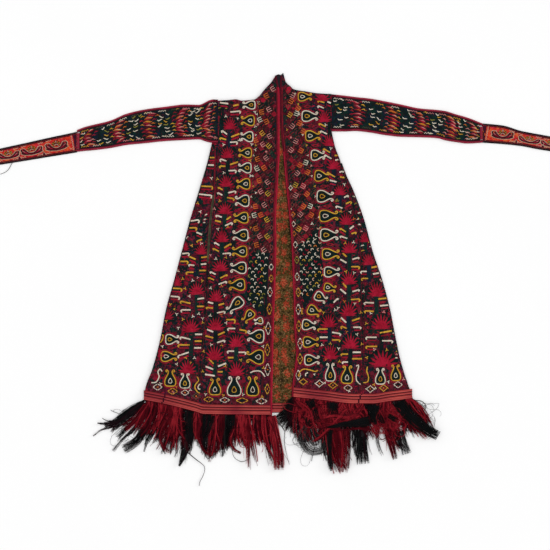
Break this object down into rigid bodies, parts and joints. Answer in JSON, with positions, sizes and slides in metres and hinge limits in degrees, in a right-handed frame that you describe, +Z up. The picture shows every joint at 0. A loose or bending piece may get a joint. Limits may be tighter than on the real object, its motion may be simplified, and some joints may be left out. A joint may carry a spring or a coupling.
{
  "type": "chyrpy",
  "caption": "Embroidered Turkmen silk mantle with long false sleeves and a deep silk fringe, laid flat on a surface with its front up.",
  "frame": {"origin": "middle of the garment's box, on the surface that it lies on", "axes": "+X to the right as the laid garment is seen, along the spread sleeves; +Y towards the neck; +Z up from the surface"},
  "size_m": [2.04, 1.36, 0.0132],
  "materials": {
    "embroidered_silk": "soft sheen",
    "plain_silk": "matt",
    "printed_cotton": "matt",
    "edge_binding": "soft sheen",
    "sleeve_binding": "soft sheen",
    "hem_braid": "ribbed, matt",
    "strip_silk": "soft sheen",
    "strip_edge": "matt",
    "crimson_fringe": "silk sheen",
    "black_fringe": "silk sheen"
  },
  "bodies": {
    "root": {"back_panel": "plain_silk", "back_gore_left": "plain_silk", "back_gore_right": "plain_silk", "back_lining": "printed_cotton", "hem_band_back": "hem_braid", "front_left": "embroidered_silk", "front_left_gore": "embroidered_silk", "front_right": "embroidered_silk", "front_right_gore": "embroidered_silk", "front_left_binding": "edge_binding", "front_right_binding": "edge_binding", "hem_band_left": "hem_braid", "hem_band_right": "hem_braid", "sleeve_left_front": "embroidered_silk", "sleeve_left_back": "plain_silk", "sleeve_left_binding_bottom": "sleeve_binding", "sleeve_left_binding_top": "sleeve_binding", "sleeve_left_binding_end": "sleeve_binding", "sleeve_right_front": "embroidered_silk", "sleeve_right_back": "plain_silk", "sleeve_right_binding_bottom": "sleeve_binding", "sleeve_right_binding_top": "sleeve_binding", "sleeve_right_binding_end": "sleeve_binding", "strip_left": "strip_silk", "strip_left_binding_bottom": "strip_edge", "strip_left_binding_top": "strip_edge", "strip_right": "strip_silk", "strip_right_binding_bottom": "strip_edge", "strip_right_binding_top": "strip_edge", "fringe_left_crimson": "crimson_fringe", "fringe_left_black": "black_fringe", "fringe_right_crimson": "crimson_fringe", "fringe_right_black": "black_fringe", "fringe_back": "black_fringe"}
  },
  "joints": []
}
